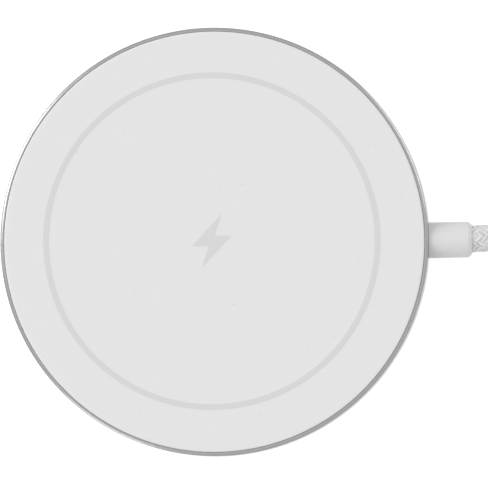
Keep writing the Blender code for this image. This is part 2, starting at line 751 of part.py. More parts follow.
def main():
    clear_scene()
    soft_white = make_material("soft_touch_white", (0.78, 0.78, 0.78), 0.55)
    shell_white = make_material("white_plastic", (0.80, 0.80, 0.79), 0.40)
    relief_white = make_material("relief_white", (0.72, 0.72, 0.72), 0.45)
    aluminium = make_material("anodised_aluminium", (0.68, 0.69, 0.70), 0.32, 1.0)
    silicone = make_material("silicone_grey", (0.55, 0.55, 0.55), 0.70)
    dark_plastic = make_material("carrier_plastic", (0.06, 0.06, 0.06), 0.50)
    nickel = make_material("nickel_plating", (0.62, 0.60, 0.56), 0.25, 1.0)
    steel = make_material("plain_steel", (0.50, 0.50, 0.51), 0.35, 1.0)
    litz = make_material("litz_copper", (0.72, 0.38, 0.18), 0.45, 0.8)
    ferrite = make_material("ferrite", (0.045, 0.045, 0.05), 0.60)
    foil = make_material("shield_foil", (0.75, 0.75, 0.76), 0.30, 1.0)
    board_green = make_material("board_green", (0.03, 0.16, 0.08), 0.40)
    chip_black = make_material("chip_black", (0.02, 0.02, 0.022), 0.45)
    capacitor = make_material("capacitor_ceramic", (0.42, 0.28, 0.16), 0.50)
    thermal = make_material("thermal_pad_blue", (0.30, 0.45, 0.60), 0.80)
    braid = make_material("braided_sleeve", (0.70, 0.70, 0.70), 0.80)
    strap = make_material("tie_fabric", (0.55, 0.55, 0.56), 0.90)
    gold = make_material("contact_gold", (0.85, 0.62, 0.25), 0.25, 1.0)
    wires = {
        "positive": make_material("wire_red", (0.55, 0.03, 0.03), 0.45),
        "negative": make_material("wire_black", (0.02, 0.02, 0.02), 0.45),
        "data": make_material("wire_green", (0.03, 0.35, 0.08), 0.45),
        "control": make_material("wire_blue", (0.04, 0.12, 0.50), 0.45),
    }
    make_rim_frame(aluminium)
    make_top_plate(soft_white)
    make_bottom_cover(shell_white)
    make_foot_pad(silicone)
    for number, angle in enumerate(SCREW_ANGLES, 1):
        make_screw(number, angle, steel)
    make_magnet_carrier(dark_plastic)
    make_magnets(nickel, steel)
    make_charging_coil(litz)
    make_sheets(ferrite, foil)
    make_circuit_board(board_green)
    make_board_parts(chip_black, capacitor, thermal)
    make_temperature_sensor(chip_black)
    make_strain_relief(relief_white)
    make_wires(wires, steel)
    make_cord(braid)
    make_cord_coil(braid)
    make_cable_tie(strap)
    axis = make_plug_axis()
    make_plug_sleeve(axis, relief_white)
    make_plug_housing(axis, shell_white)
    make_plug_shell(axis, nickel)
    make_plug_insides(axis, chip_black, gold, board_green)


main()
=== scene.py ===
"""Looks of the wireless charging pad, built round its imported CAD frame.

Metres, +Z up, in the CAD's own frame: the pad's middle is over the origin and the cord leaves along +X.
"""

import math

import bmesh
import bpy
import numpy as np
from mathutils import Matrix, Quaternion, Vector


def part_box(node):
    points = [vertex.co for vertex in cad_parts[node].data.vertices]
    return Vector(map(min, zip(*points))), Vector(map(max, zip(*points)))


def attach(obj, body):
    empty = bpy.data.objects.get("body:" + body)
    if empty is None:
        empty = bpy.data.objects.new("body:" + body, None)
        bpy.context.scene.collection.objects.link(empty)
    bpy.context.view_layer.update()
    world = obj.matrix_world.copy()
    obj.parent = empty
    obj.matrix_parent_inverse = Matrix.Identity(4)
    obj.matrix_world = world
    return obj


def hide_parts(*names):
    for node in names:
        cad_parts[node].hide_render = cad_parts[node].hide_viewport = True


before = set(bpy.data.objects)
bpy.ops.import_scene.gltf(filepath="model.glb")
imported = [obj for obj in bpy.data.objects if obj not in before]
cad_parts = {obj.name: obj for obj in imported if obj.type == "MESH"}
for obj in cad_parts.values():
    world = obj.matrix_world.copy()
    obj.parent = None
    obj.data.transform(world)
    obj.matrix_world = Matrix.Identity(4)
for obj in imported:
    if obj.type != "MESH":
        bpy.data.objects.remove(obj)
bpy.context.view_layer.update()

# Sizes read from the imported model.
RIM_LOW, RIM_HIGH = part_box("rim_frame")
RIM_RADIUS = RIM_HIGH.x
PLATE_LOW, PLATE_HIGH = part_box("top_plate")
PLATE_RADIUS = PLATE_HIGH.x
PAD_TOP = PLATE_HIGH.z
COVER_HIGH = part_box("bottom_cover")[1]
FOOT_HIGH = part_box("foot_pad")[1]
RELIEF_LOW, RELIEF_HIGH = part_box("strain_relief")
RELIEF_RADIUS = (RELIEF_HIGH.z - RELIEF_LOW.z) / 2
RELIEF_END = RELIEF_HIGH.x

# Sizes repeated from part.py: gaps, rim, cover and foot, strain relief, cord, tie and plug.
GAP = 0.0001
CUT_GAP = 0.0003
RIM_ROUND = 0.00042
RIM_FACE_INNER = RIM_RADIUS - 0.0005
RIM_WALL_INNER = RIM_RADIUS - 0.0011
COVER_TOP = 0.0013
FOOT_INNER = 0.0160
RELIEF_CHAMFER = 0.00045
RELIEF_NECK = 0.0016
RELIEF_BORE = 0.0011
CORD_LEVEL = 0.0036
CORD_DIAMETER = 0.0037
CORD_RADIUS = CORD_DIAMETER / 2
TURN_PITCH = 0.00375
TURNS = 9 + 7 / 12
SPOOL_MIDDLE = 0.0231
SPOOL_CENTRE = Vector((0.0815, -0.0238, 0.0))
SPOOL_INNER = SPOOL_MIDDLE - TURNS / 4 * TURN_PITCH - CORD_RADIUS
SPOOL_OUTER = SPOOL_MIDDLE + TURNS / 4 * TURN_PITCH + CORD_RADIUS
SPOOL_TOP = 2 * TURN_PITCH
UPPER_LEVEL = SPOOL_TOP - CORD_RADIUS
TIE_ANGLE = math.radians(-30)
TIE_WIDTH = 0.0100
TIE_THICKNESS = 0.0007
TIE_LIFT = TIE_THICKNESS + CUT_GAP
TIE_CORNER = 0.0014
ENTRY_ANGLE = math.radians(120)
LEAVE_ANGLE = math.radians(270)
FLOOR_LEVEL = CORD_RADIUS + 0.00005
PLUG_HALF_HEIGHT = 0.0030
PLUG_HALF_WIDTH = 0.0058
PLUG_CORNER = 0.0022
PLUG_LEVEL = PLUG_HALF_HEIGHT + 0.00005
SLEEVE_LENGTH = 0.0070
HOUSING_START = SLEEVE_LENGTH + CUT_GAP
HOUSING_END = HOUSING_START + 0.0190
SHELL_START = HOUSING_END - 0.0060
SHELL_END = HOUSING_END + 0.00665
SHELL_WIDTH = 0.00825
SHELL_HEIGHT = 0.0024
SHELL_WALL = 0.0002

# The printing on the charging face, which sits a little off the middle.
PRINT_RADIUS = 0.02244
PRINT_WIDTH = 0.00077
PRINT_MIDDLE = Vector((-0.00033, 0.00009, 0.0))

# The braid of the cord.
STRANDS = 16  # each way round it
STRAND_STEP = math.pi * CORD_DIAMETER / STRANDS
BRAID_DEPTH = 0.00009
FINE_LENGTH = 0.0144  # how much of the cord has its strands in relief
FINE_SIDES = 96
PLAIN_SIDES = 32

TURNED_STEPS = 288  # round the pad

LIGHT_DISTANCE = 9.0


# ---------------------------------------------------------------- shapes


def on_circle(radius, angle):
    return radius * math.cos(angle), radius * math.sin(angle)


def add_piece(name, mesh, material, replaced=(), smooth_angle=40):
    """Links a mesh as a piece that rides on the pad's one body."""
    mesh.shade_smooth()
    mesh.set_sharp_from_angle(angle=math.radians(smooth_angle))
    mesh.materials.append(material)
    piece = bpy.data.objects.new(name, mesh)
    bpy.context.scene.collection.objects.link(piece)
    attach(piece, "root")
    if replaced:
        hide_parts(*replaced)
    return piece


def mesh_from(name, points, faces):
    mesh = bpy.data.meshes.new(name)
    mesh.from_pydata([tuple(point) for point in points], [], faces)
    mesh.update()
    return mesh


def softened(points, sizes, closed, steps=4):
    """The points of a profile with each corner swapped for a curve that starts its size away."""
    count = len(points)
    result = []
    for i, point in enumerate(points):
        size = sizes[i]
        if size == 0 or (not closed and i in (0, count - 1)):
            result.append(point)
            continue
        here = Vector(point)
        before = Vector(points[i - 1])
        after = Vector(points[(i + 1) % count])
        start = here + (before - here).normalized() * size
        end = here + (after - here).normalized() * size
        for k in range(steps + 1):
            t = k / steps
            spot = start * (1 - t) ** 2 + here * 2 * t * (1 - t) + end * t * t
            result.append((spot.x, spot.y))
    return result


def turned(name, profile, steps, closed):
    """A profile of (radius, height) points spun about Z; an open one starts and ends on the axis."""
    points = []
    rings = []
    for i, (radius, height) in enumerate(profile):
        on_axis = not closed and i in (0, len(profile) - 1)
        count = 1 if on_axis else steps
        rings.append(range(len(points), len(points) + count))
        points += [(*on_circle(radius, math.tau * k / steps), height) for k in range(count)]
    pairs = list(zip(rings, rings[1:]))
    if closed:
        pairs.append((rings[-1], rings[0]))
    faces = []
    for low, high in pairs:
        for k in range(steps):
            n = (k + 1) % steps
            corners = (low[k % len(low)], low[n % len(low)], high[n % len(high)], high[k % len(high)])
            faces.append(tuple(dict.fromkeys(corners)))  # a triangle next to the axis
    return facing_out(mesh_from(name, points, faces))


def facing_out(mesh):
    """The same closed mesh with all its faces turned outwards."""
    shape = bmesh.new()
    shape.from_mesh(mesh)
    bmesh.ops.recalc_face_normals(shape, faces=shape.faces)
    if shape.calc_volume(signed=True) < 0:
        bmesh.ops.reverse_faces(shape, faces=shape.faces)
    shape.to_mesh(mesh)
    shape.free()
    return mesh


def skinned(name, loops, closed=False):
    """A skin through loops of as many points each: capped, or closed from the last loop to the first."""
    count = len(loops[0])
    points = [point for loop in loops for point in loop]
    faces = []
    for level in range(len(loops) if closed else len(loops) - 1):
        low = level * count
        high = (level + 1) % len(loops) * count
        for i in range(count):
            j = (i + 1) % count
            faces.append((low + i, low + j, high + j, high + i))
    if not closed:
        faces.append(tuple(reversed(range(count))))
        faces.append(tuple(range(len(points) - count, len(points))))
    return facing_out(mesh_from(name, points, faces))


def cut(mesh, cutter):
    """The first mesh less the second."""
    target = bpy.data.objects.new("cut_target", mesh)
    tool = bpy.data.objects.new("cut_tool", cutter)
    for thing in (target, tool):
        bpy.context.scene.collection.objects.link(thing)
    step = target.modifiers.new("cut", "BOOLEAN")
    step.operation = "DIFFERENCE"
    step.solver = "EXACT"
    step.object = tool
    bpy.context.view_layer.update()
    result = bpy.data.meshes.new_from_object(target.evaluated_get(bpy.context.evaluated_depsgraph_get()))
    for thing in (target, tool):
        bpy.data.objects.remove(thing)
    return result


def moved(mesh, change):
    """Puts each point of a mesh where the change says."""
    for corner in mesh.vertices:
        corner.co = change(corner.co)
    mesh.update()
    return mesh


def laid_along_x(mesh, level=0.0):
    """Turns a mesh made about Z to lie along +X."""
    return moved(mesh, lambda point: (point.z, point.x, point.y + level))


def rounded_outline(half_x, half_y, corner, steps):
    """A rectangle centred on the origin, its corners arcs of the given radius."""
    points = []
    for quarter, (sx, sy) in enumerate(((1, 1), (-1, 1), (-1, -1), (1, -1))):
        for i in range(steps + 1):
            x, y = on_circle(corner, math.pi / 2 * (quarter + i / steps))
            points.append((sx * (half_x - corner) + x, sy * (half_y - corner) + y))
    return points


def stations(places, outline_at):
    """Loops across the X axis for a list of (inset, x): the outline with that inset, at that x."""
    return [[(x, y, z) for y, z in outline_at(inset)] for inset, x in places]


# ---------------------------------------------------------------- materials


class Look:
    """Short calls for wiring one material round a Principled shader."""

    def __init__(self, name, colour, roughness, metallic=0.0, **extra):
        self.material = bpy.data.materials.new(name)
        self.material.use_nodes = True
        self.nodes = self.material.node_tree.nodes
        self.links = self.material.node_tree.links
        self.shader = self.nodes["Principled BSDF"]
        self.set("Base Color", (*colour, 1.0))
        self.set("Roughness", roughness)
        self.set("Metallic", metallic)
        for key, value in extra.items():
            self.set(key.replace("_", " "), value)
        self.coords = self.nodes.new("ShaderNodeTexCoord")

    def set(self, name, value):
        """Sets or links an input of the shader."""
        self.put(self.shader.inputs[name], value)

    def put(self, socket, value):
        """Links a socket to another, or gives it a plain value."""
        if isinstance(value, bpy.types.NodeSocket):
            self.links.new(value, socket)
        else:
            socket.default_value = value

    def node(self, kind, inputs, output=0, **settings):
        """Adds a node with its inputs and its own settings, and gives one of its outputs."""
        made = self.nodes.new("ShaderNode" + kind)
        for key, value in settings.items():
            setattr(made, key, value)
        for key, value in inputs.items():
            self.put(made.inputs[key], value)
        return made.outputs[output]

    def math(self, operation, *values):
        return self.node("Math", dict(enumerate(values)), operation=operation)

    def plus(self, first, second):
        return self.math("ADD", first, second)

    def minus(self, first, second):
        return self.math("SUBTRACT", first, second)

    def times(self, first, second):
        return self.math("MULTIPLY", first, second)

    def arch(self, value):
        """Up and down again, 0 to 1 to 0, as the value goes from 0 to 1."""
        return self.math("SINE", self.times(value, math.pi))

    def place(self, scale=(1, 1, 1)):
        """Where a point is on the object, in metres, stretched by the scale."""
        where = self.coords.outputs["Object"]
        if scale == (1, 1, 1):
            return where
        return self.node("Mapping", {"Vector": where, "Scale": scale})

    def axes(self, vector):
        """The X, Y and Z of a vector."""
        parts = self.nodes.new("ShaderNodeSeparateXYZ")
        self.put(parts.inputs[0], vector)
        return parts.outputs["X"], parts.outputs["Y"], parts.outputs["Z"]

    def polar(self):
        """Where a point is about the Z axis: its radius, its angle and its height."""
        x, y, z = self.axes(self.place())
        radius = self.node("VectorMath", {0: self.place((1, 1, 0))}, output="Value", operation="LENGTH")
        return radius, self.math("ARCTAN2", y, x), z

    def noise(self, size, detail=2.0, roughness=0.5):
        """Noise from 0 to 1 whose blotches are about a size across, in metres."""
        inputs = {"Vector": self.place(), "Scale": 1 / size, "Detail": detail, "Roughness": roughness}
        return self.node("TexNoise", inputs)

    def spread(self, value, low, high):
        """A value from 0 to 1 mapped to a range."""
        return self.node("MapRange", {"Value": value, "To Min": low, "To Max": high})

    def step(self, value, start, end):
        """0 below the start, 1 above the end, smooth between."""
        inputs = {"Value": value, "From Min": start, "From Max": end}
        return self.node("MapRange", inputs, interpolation_type="SMOOTHSTEP")

    def mix(self, share, first, second):
        """The first colour where the share is 0, the second where it is 1."""
        made = self.nodes.new("ShaderNodeMix")
        made.data_type = "RGBA"
        self.put(made.inputs["Factor"], share)
        for key, colour in (("A", first), ("B", second)):
            linked = isinstance(colour, bpy.types.NodeSocket)
            self.put(made.inputs[key], colour if linked else (*colour, 1.0))
        return made.outputs["Result"]

    def pick(self, share, first, second):
        """The first number where the share is 0, the second where it is 1."""
        return self.plus(first, self.times(self.minus(second, first), share))

    def bump(self, height, distance, strength=1.0):
        """Relief from a height of 0 to 1 that stands for a distance in metres."""
        inputs = {"Height": height, "Distance": distance, "Strength": strength}
        self.set("Normal", self.node("Bump", inputs))

    def shade(self, colour, amount, value):
        """The base colour, darker and lighter by an amount as the value goes from 0 to 1."""
        self.set("Base Color", self.mix(value, *tones(colour, amount)))


def tones(colour, amount):
    """A darker and a lighter tone of a colour."""
    return [tuple(part * (1 + change) for part in colour) for change in (-amount, amount)]


def grained(name, colour, roughness, size, depth, amount=0.02, metallic=0.0):
    """A moulded, cast or coated surface: fine grain in its height, a little in its colour."""
    look = Look(name, colour, roughness, metallic)
    grain = look.noise(size, detail=3.0)
    look.shade(colour, amount, look.noise(size * 6, detail=2.0))
    look.set("Roughness", look.spread(grain, roughness - 0.06, roughness + 0.06))
    look.bump(grain, depth)
    return look.material


def specks(look, spacing, size, share, stretch=1.0):
    """1 on small scattered specks of the plate, 0 elsewhere; a share of the places has one."""
    inputs = {"Vector": look.place((stretch, 1, 0)), "Scale": 1 / spacing}
    near = look.node("TexVoronoi", inputs, output="Distance", voronoi_dimensions="2D")
    cell = look.node("TexVoronoi", inputs, output="Color", voronoi_dimensions="2D")
    chosen = look.node("SeparateColor", {"Color": cell})
    edge = size / spacing
    spot = look.minus(1.0, look.step(near, edge * 0.6, edge))
    return look.times(spot, look.math("LESS_THAN", chosen, share))


def soft_touch_look():
    """The matt coating of the charging face, with a little pale lint and dark dirt on it."""
    base = (0.82, 0.82, 0.822)
    look = Look("soft_touch_coating", base, 0.55, Specular_IOR_Level=0.30)
    grain = look.noise(0.00018, detail=3.0, roughness=0.6)
    cloud = look.noise(0.004, detail=3.0)
    tone = look.plus(look.times(grain, 0.5), look.times(cloud, 0.5))
    coat = look.mix(tone, *tones(base, 0.015))
    lint = specks(look, spacing=0.0049, size=0.00015, share=0.40)
    grit = specks(look, spacing=0.0061, size=0.00013, share=0.34)
    fibres = specks(look, spacing=0.0066, size=0.00010, share=0.30, stretch=0.25)
    dirt = look.math("MAXIMUM", grit, fibres)
    paler = look.mix(look.times(lint, 0.55), coat, (0.92, 0.92, 0.92))
    look.set("Base Color", look.mix(look.times(dirt, 0.22), paler, (0.42, 0.42, 0.42)))
    look.set("Roughness", look.spread(grain, 0.50, 0.60))
    look.bump(grain, 0.000010, 0.5)
    return look.material


def ink_look():
    """Pale grey printing on the coating."""
    base = (0.719, 0.719, 0.724)
    look = Look("pale_grey_ink", base, 0.50, Specular_IOR_Level=0.30)
    grain = look.noise(0.00016, detail=3.0)
    look.shade(base, 0.018, look.noise(0.0006, detail=4.0))
    look.bump(grain, 0.000008, 0.5)
    return look.material


def turned_metal(name, colour, roughness, spacing, depth):
    """Metal with the fine rings that a lathe leaves round the Z axis."""
    look = Look(name, colour, roughness, 1.0)
    radius, angle, height = look.polar()
    inputs = {
        "X": look.times(radius, 1 / spacing),
        "Y": look.times(angle, 18.0),
        "Z": look.times(height, 1 / spacing),
    }
    where = look.node("CombineXYZ", inputs)
    lines = look.node("TexNoise", {"Vector": where, "Scale": 1.0, "Detail": 3.0})
    look.shade(colour, 0.10, lines)
    look.set("Roughness", look.spread(lines, roughness - 0.07, roughness + 0.09))
    look.bump(lines, depth, 0.6)
    return look.material


def weave(look):
    """The braid at a point, worked out as braid_height does: two sets of strands, over two and under two.

    Gives whether the second set is on top, the number of the strand on top, how far across that strand
    the point lies, and how far along the stretch that lies over its neighbours.
    """
    along, around, _ = look.axes(look.node("UVMap", {}, uv_map="Weave"))
    first = look.plus(along, around)
    second = look.minus(along, around)
    difference = look.minus(look.math("FLOOR", first), look.math("FLOOR", second))
    second_up = look.math("GREATER_THAN", look.math("FLOORED_MODULO", difference, 4.0), 1.5)
    chosen = look.pick(second_up, first, second)
    other = look.pick(second_up, second, first)
    strand = look.math("FLOOR", chosen)
    offset = look.minus(1.0, look.times(second_up, 3.0))
    reach = look.plus(look.minus(other, strand), offset)
    float_share = look.math("DIVIDE", look.math("FLOORED_MODULO", reach, 4.0), 2.0)
    return second_up, strand, look.math("FRACT", chosen), float_share


def braid_look():
    """A fine braid of strands of three yarns each, white with some grey yarns, and painted shade in the
    low places between strands and yarns.
    """
    look = Look("white_braid", (0.7, 0.7, 0.7), 0.75, Sheen_Weight=0.25, Sheen_Roughness=0.5)
    second_up, strand, across, float_share = weave(look)
    yarns = look.times(across, 3.0)
    yarn_crown = look.arch(look.math("FRACT", yarns))
    strand_crown = look.math("POWER", look.arch(across), 0.6)
    height = look.times(strand_crown, look.plus(look.arch(float_share), 0.8))
    height = look.plus(height, look.times(yarn_crown, 0.35))
    count = look.plus(look.math("FLOOR", yarns), look.times(strand, 2.0))
    count = look.plus(count, second_up)
    grey_yarn = look.math("LESS_THAN", look.math("FRACT", look.times(count, 0.3819)), 0.42)
    tint = look.mix(grey_yarn, (0.86, 0.86, 0.86), (0.64, 0.64, 0.645))
    fuzz = look.noise(0.00012, detail=3.0)
    # Painted shade: where the braid stands low, in the gaps between strands and yarns, the colour goes to
    # a darker grey.
    tint_with_painted_gap_shade = look.mix(look.step(height, 0.20, 1.0), (0.55, 0.55, 0.555), tint)
    look.set("Base Color", look.mix(look.times(fuzz, 0.12), tint_with_painted_gap_shade, (0.95, 0.95, 0.95)))
    look.bump(look.plus(height, look.times(fuzz, 0.5)), 0.00005, 0.6)
    return look.material


def loop_fabric_look():
    """The brushed loops of a hook-and-loop strap."""
    base = (0.55, 0.55, 0.56)
    look = Look("strap_loops", base, 0.95, Sheen_Weight=0.5, Sheen_Roughness=0.4)
    loops = look.node("TexVoronoi", {"Vector": look.place(), "Scale": 1 / 0.00032}, output="Distance")
    fuzz = look.noise(0.00010, detail=4.0)
    inputs = {"Vector": look.place(), "Scale": 1 / 0.0009, "Distortion": 2.0}
    rows = look.node("TexWave", inputs, output="Fac")
    height = look.plus(loops, look.times(fuzz, 0.8))
    look.shade(base, 0.22, look.times(look.plus(height, rows), 0.5))
    look.bump(height, 0.00012, 0.9)
    return look.material


def litz_look():
    """Enamelled strands twisted along the coil's wire."""
    base = (0.72, 0.36, 0.17)
    look = Look("litz_wire", base, 0.40, 0.85, Coat_Weight=0.3, Coat_Roughness=0.25)
    radius, angle, _ = look.polar()
    twist = look.plus(look.times(angle, 260.0), look.times(radius, 9000.0))
    strands = look.math("ABSOLUTE", look.math("SINE", twist))
    look.shade(base, 0.22, strands)
    look.bump(strands, 0.00003, 0.8)
    return look.material


def board_look():
    """Green solder resist with the copper tracks showing through it."""
    look = Look("solder_resist", (0.03, 0.16, 0.08), 0.35, Coat_Weight=0.4, Coat_Roughness=0.2)
    inputs = {"Vector": look.place(), "Scale": 1 / 0.0024}
    cells = look.node("TexVoronoi", inputs, output="Distance", feature="DISTANCE_TO_EDGE")
    tracks = look.minus(1.0, look.step(cells, 0.05, 0.09))
    look.set("Base Color", look.mix(tracks, (0.020, 0.125, 0.060), (0.055, 0.240, 0.100)))
    look.bump(tracks, 0.00003, 0.6)
    return look.material


def part_looks():
    """The look of each CAD node that is shown as it is, keyed by how the node's name starts."""
    steel = turned_metal("plain_steel", (0.50, 0.50, 0.51), 0.33, 0.00008, 0.000004)
    chip = grained("chip_resin", (0.030, 0.030, 0.033), 0.55, 0.00012, 0.00001, amount=0.10)
    ceramic = grained("capacitor_ceramic", (0.42, 0.28, 0.16), 0.45, 0.00015, 0.00001, amount=0.08)
    gold = grained("contact_plating", (0.85, 0.62, 0.25), 0.25, 0.00008, 0.000003, 0.05, metallic=1.0)
    looks = {
        "bottom_cover": grained("cover_plastic", (0.80, 0.80, 0.79), 0.42, 0.0002, 0.00001, 0.015),
        "cover_screw": steel,
        "crimp_ring": steel,
        "magnet_backplate": steel,
        "magnet_carrier": grained("carrier_plastic", (0.06, 0.06, 0.062), 0.5, 0.0002, 0.00001, 0.06),
        "magnet_": turned_metal("nickel_plating", (0.62, 0.60, 0.56), 0.24, 0.00012, 0.000003),
        "charging_coil": litz_look(),
        "ferrite_sheet": grained("pressed_ferrite", (0.045, 0.045, 0.05), 0.62, 0.0003, 0.00002, 0.12),
        "shield_plate": turned_metal("shield_foil", (0.75, 0.75, 0.76), 0.28, 0.0004, 0.000006),
        "circuit_board": board_look(),
        "controller_ic": chip,
        "power_stage": chip,
        "power_inductor": grained("inductor_powder", (0.10, 0.10, 0.105), 0.6, 0.0001, 0.00002, 0.15),
        "resonant_capacitor": ceramic,
        "input_capacitor": ceramic,
        "temperature_sensor": chip,
        "thermal_pad": grained("thermal_pad", (0.30, 0.45, 0.60), 0.85, 0.0003, 0.00002, 0.05),
        "plug_board": board_look(),
        "plug_insert": grained("insert_resin", (0.020, 0.020, 0.022), 0.4, 0.0001, 0.000005, 0.10),
        "plug_contacts": gold,
    }
    insulation = {
        "positive": (0.55, 0.03, 0.03),
        "negative": (0.020, 0.020, 0.020),
        "data": (0.03, 0.35, 0.08),
        "control": (0.04, 0.12, 0.50),
    }
    for name, colour in insulation.items():
        looks[f"wire_{name}"] = grained(f"wire_{name}", colour, 0.42, 0.0003, 0.000006, amount=0.06)
    return looks


def dress(name, look):
    """Gives a CAD node that is shown as it is a material."""
    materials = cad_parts[name].data.materials
    materials.clear()
    materials.append(look)


def dress_cad_nodes():
    """Gives each shown CAD node the look whose key is the longest start of its name."""
    looks = part_looks()
    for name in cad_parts:
        keys = [key for key in looks if name.startswith(key)]
        if keys:
            dress(name, looks[max(keys, key=len)])


# ---------------------------------------------------------------- camera, light and floor


def make_camera():
    """A long lens above the pad, leaning a little towards the cord, as in the photograph."""
    lens, width = 800.0, 36.0
    span = 0.06596  # how much of the plate's level fits across the picture
    aim = Vector((0.004047, -0.00035, PAD_TOP))
    lean_x, lean_y = math.radians(2.6), math.radians(-1.5)
    back = Vector((math.tan(lean_x), math.tan(lean_y), 1.0)).normalized()
    data = bpy.data.cameras.new("camera")
    data.lens = lens
    data.sensor_width = width
    data.clip_start = 0.05
    data.clip_end = 20.0
    camera = bpy.data.objects.new("camera", data)
    camera.location = aim + back * (span * lens / width)
    camera.rotation_mode = "QUATERNION"
    right = Vector((0.0, 1.0, 0.0)).cross(back).normalized()
    upright = Matrix((right, back.cross(right), back)).transposed().to_quaternion()
    camera.rotation_quaternion = upright @ Quaternion((0, 0, 1), math.radians(-0.45))
    bpy.context.scene.collection.objects.link(camera)
    bpy.context.scene.camera = camera


def add_softbox(name, azimuth, elevation, width, height, power):
    """A soft light at a fair distance; azimuth 0 is along +X and 90 along +Y."""
    around, above = math.radians(azimuth), math.radians(elevation)
    flat = math.cos(above)
    towards = Vector((math.cos(around) * flat, math.sin(around) * flat, math.sin(above)))
    data = bpy.data.lights.new(name, "AREA")
    data.shape = "RECTANGLE"
    data.size = width
    data.size_y = height
    data.energy = power
    lamp = bpy.data.objects.new(name, data)
    lamp.location = towards * LIGHT_DISTANCE
    lamp.rotation_mode = "QUATERNION"
    lamp.rotation_quaternion = towards.to_track_quat("Z", "Y")
    bpy.context.scene.collection.objects.link(lamp)


def make_world():
    """A soft grey room, a little darker at the level of the table than above and below it."""
    world = bpy.data.worlds.new("studio")
    bpy.context.scene.world = world
    world.use_nodes = True
    nodes, links = world.node_tree.nodes, world.node_tree.links
    coords = nodes.new("ShaderNodeTexCoord")
    parts = nodes.new("ShaderNodeSeparateXYZ")
    level = nodes.new("ShaderNodeMapRange")
    level.inputs["From Min"].default_value = -1.0
    shades = nodes.new("ShaderNodeValToRGB")
    ramp = shades.color_ramp
    ramp.elements[0].color = (1.0, 1.0, 1.0, 1.0)
    ramp.elements[1].color = (0.79, 0.79, 0.79, 1.0)
    for place, tone in ((0.32, 0.72), (0.50, 0.50), (0.66, 0.66)):
        ramp.elements.new(place).color = (tone, tone, tone, 1.0)
    links.new(coords.outputs["Generated"], parts.inputs[0])
    links.new(parts.outputs["Z"], level.inputs["Value"])
    links.new(level.outputs["Result"], shades.inputs["Fac"])
    links.new(shades.outputs["Color"], nodes["Background"].inputs["Color"])


def make_lights():
    """Three large low softboxes, and plain colours in the picture."""
    add_softbox("softbox_left", 156, 23.5, 4.3, 7.2, 400.0)
    add_softbox("softbox_right", 28, 8, 5.0, 3.6, 130.0)
    add_softbox("softbox_front", 236, 12, 4.2, 4.2, 110.0)
    bpy.context.scene.view_settings.view_transform = "Standard"
    bpy.context.scene.view_settings.look = "None"


def make_floor():
    """A plain white table top that neither lights the pad nor shows in its metal."""
    half, level = 12.0, -0.00005
    corners = [(-half, -half, level), (half, -half, level), (half, half, level), (-half, half, level)]
    mesh = mesh_from("floor", corners, [(0, 1, 2, 3)])
    white = (0.82, 0.82, 0.82)
    look = Look("white_table", white, 0.6)
    look.shade(white, 0.01, look.noise(0.02))
    look.set("Emission Color", (1.0, 1.0, 1.0, 1.0))
    look.set("Emission Strength", 0.58)
    mesh.materials.append(look.material)
    floor = bpy.data.objects.new("floor", mesh)
    bpy.context.scene.collection.objects.link(floor)
    floor.visible_diffuse = False
    floor.visible_glossy = False


# ---------------------------------------------------------------- the cord


def eased(share):
    """A share kept between 0 and 1 and smoothed at both ends."""
    share = min(1.0, max(0.0, share))
    return share * share * (3 - 2 * share)


def tie_lift(angle):
    """How far the coil is raised at an angle about its centre, to pass over the tie."""
    flat, spread = math.radians(24), math.radians(60)
    away = abs((angle - TIE_ANGLE + math.pi) % math.tau - math.pi)
    return TIE_LIFT * eased((spread - away) / (spread - flat))


def spool_point(radius, angle, level):
    return SPOOL_CENTRE + Vector((*on_circle(radius, angle), level))


def smooth_route(knots, step):
    """Points about a step apart on a Catmull-Rom curve through all knots but the first and last."""
    points = []
    for before, start, end, after in zip(knots, knots[1:], knots[2:], knots[3:]):
        slope = end - before
        bend = 2 * before - 5 * start + 4 * end - after
        twist = 3 * start - before - 3 * end + after
        count = max(1, round((end - start).length / step))
        for i in range(count):
            t = i / count
            points.append(start + 0.5 * (slope * t + bend * t * t + twist * t * t * t))
    return points + [knots[-2]]


def cord_knots():
    """The knots of the lead from the pad to the coil and of the tail from the coil to the plug."""
    outer = SPOOL_OUTER - CORD_RADIUS
    lead = [
        Vector((RELIEF_END + CUT_GAP - 0.004, 0, CORD_LEVEL)),
        Vector((RELIEF_END + CUT_GAP, 0.00015, CORD_LEVEL)),
        Vector((0.0395, 0.0004, CORD_LEVEL - 0.0003)),
        Vector((0.0450, 0.0008, 0.0024)),
        Vector((0.0502, 0.0016, FLOOR_LEVEL)),
        Vector((0.0565, 0.0030, FLOOR_LEVEL)),
        spool_point(outer, ENTRY_ANGLE, FLOOR_LEVEL),
        spool_point(outer, ENTRY_ANGLE - 0.25, FLOOR_LEVEL),
    ]
    tail = [
        spool_point(outer, LEAVE_ANGLE + 0.2, UPPER_LEVEL),
        spool_point(outer, LEAVE_ANGLE, UPPER_LEVEL),
        Vector((0.0730, -0.0560, 0.0052)),
        Vector((0.0645, -0.0556, 0.0042)),
        Vector((0.0560, -0.0547, 0.0034)),
        Vector((0.0485, -0.0533, PLUG_LEVEL)),
        Vector((0.0430, -0.0521, PLUG_LEVEL)),
        Vector((0.0390, -0.0512, PLUG_LEVEL)),
    ]
    return lead, tail


def coil_points(step):
    """The turns: a lower layer that winds inwards, a rise, and an upper layer that winds outwards."""
    inner, outer = SPOOL_INNER + CORD_RADIUS, SPOOL_OUTER - CORD_RADIUS
    rise = 0.25  # of a turn
    layer = (TURNS - rise) / 2
    count = round(math.tau * TURNS * SPOOL_MIDDLE / step)
    points = []
    for i in range(1, count):
        turn = TURNS * i / count
        climb = eased((turn - layer) / rise)
        radius = inner
        if turn < layer:
            radius = outer - (outer - inner) * turn / layer
        elif turn > layer + rise:
            radius = inner + (outer - inner) * (turn - layer - rise) / layer
        angle = ENTRY_ANGLE - math.tau * turn
        level = FLOOR_LEVEL + (UPPER_LEVEL - FLOOR_LEVEL) * climb
        points.append(spool_point(radius, angle, level + tie_lift(angle)))
    return points


